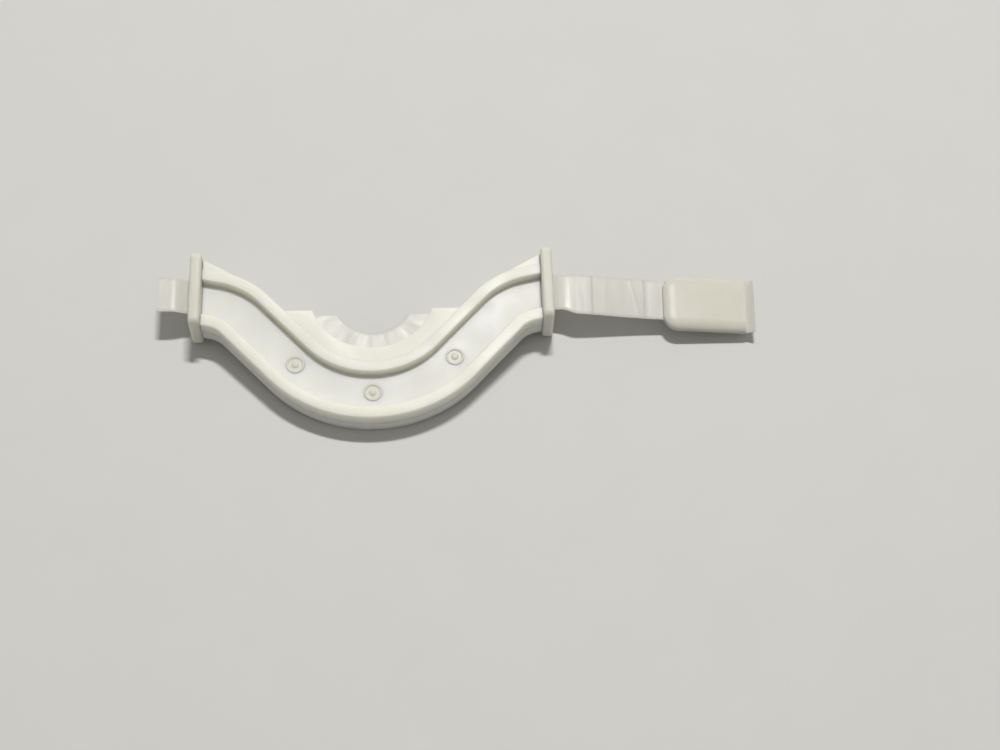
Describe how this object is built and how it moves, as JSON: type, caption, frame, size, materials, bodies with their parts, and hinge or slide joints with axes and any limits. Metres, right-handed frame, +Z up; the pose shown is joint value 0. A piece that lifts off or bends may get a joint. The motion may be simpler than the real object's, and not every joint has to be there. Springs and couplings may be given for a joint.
{
  "type": "strap saddle clip",
  "caption": "Bow-shaped saddle moulding with channelled faces and end plates, holding a flexible film strap that ends in a thick pull tab.",
  "frame": {"origin": "middle of the whole part's bounding box, on the surface that the end plates stand on", "axes": "+X from the short film tail to the pull tab, -Y the way the bow dips, +Z up through the channelled face"},
  "size_m": [0.0966, 0.0294, 0.008],
  "materials": {
    "ivory_shell": "satin moulded, faintly translucent",
    "plate_white": "satin moulded",
    "clear_film": "glossy translucent film with faint creases",
    "pad_white": "soft gloss, moulded"
  },
  "bodies": {
    "saddle": {"upper_shell": "ivory_shell", "lower_shell": "ivory_shell", "film_core": "clear_film", "left_end_plate": "plate_white", "right_end_plate": "plate_white", "stake_left": "ivory_shell", "stake_centre": "ivory_shell", "stake_right": "ivory_shell"},
    "tail": {"tail_film": "clear_film"},
    "strap_inner": {"strap_root_span": "clear_film"},
    "strap_outer": {"strap_end_span": "clear_film"},
    "pull_tab": {"tab_film": "clear_film", "tab_upper_pad": "pad_white", "tab_lower_pad": "pad_white"}
  },
  "joints": [
    {"name": "tail_flex", "type": "hinge", "parent": "saddle", "child": "tail", "pos_m": [-0.04326, 0.00843, 0.004], "axis": [0, 1, 0], "range_deg": [-45, 45], "stiffness_Nm_per_rad": 0.012},
    {"name": "strap_root_flex", "type": "hinge", "parent": "saddle", "child": "strap_inner", "pos_m": [0.01524, 0.00756, 0.00406], "axis": [-0.0384, -0.9993, 0], "range_deg": [-60, 60], "stiffness_Nm_per_rad": 0.012},
    {"name": "strap_middle_flex", "type": "hinge", "parent": "strap_inner", "child": "strap_outer", "pos_m": [0.02763, 0.00708, 0.00335], "axis": [-0.0384, -0.9993, 0], "range_deg": [-45, 60], "stiffness_Nm_per_rad": 0.012},
    {"name": "tab_flex", "type": "hinge", "parent": "strap_outer", "child": "pull_tab", "pos_m": [0.03242, 0.0069, 0.00285], "axis": [-0.0384, -0.9993, 0], "range_deg": [-60, 75], "stiffness_Nm_per_rad": 0.012}
  ]
}
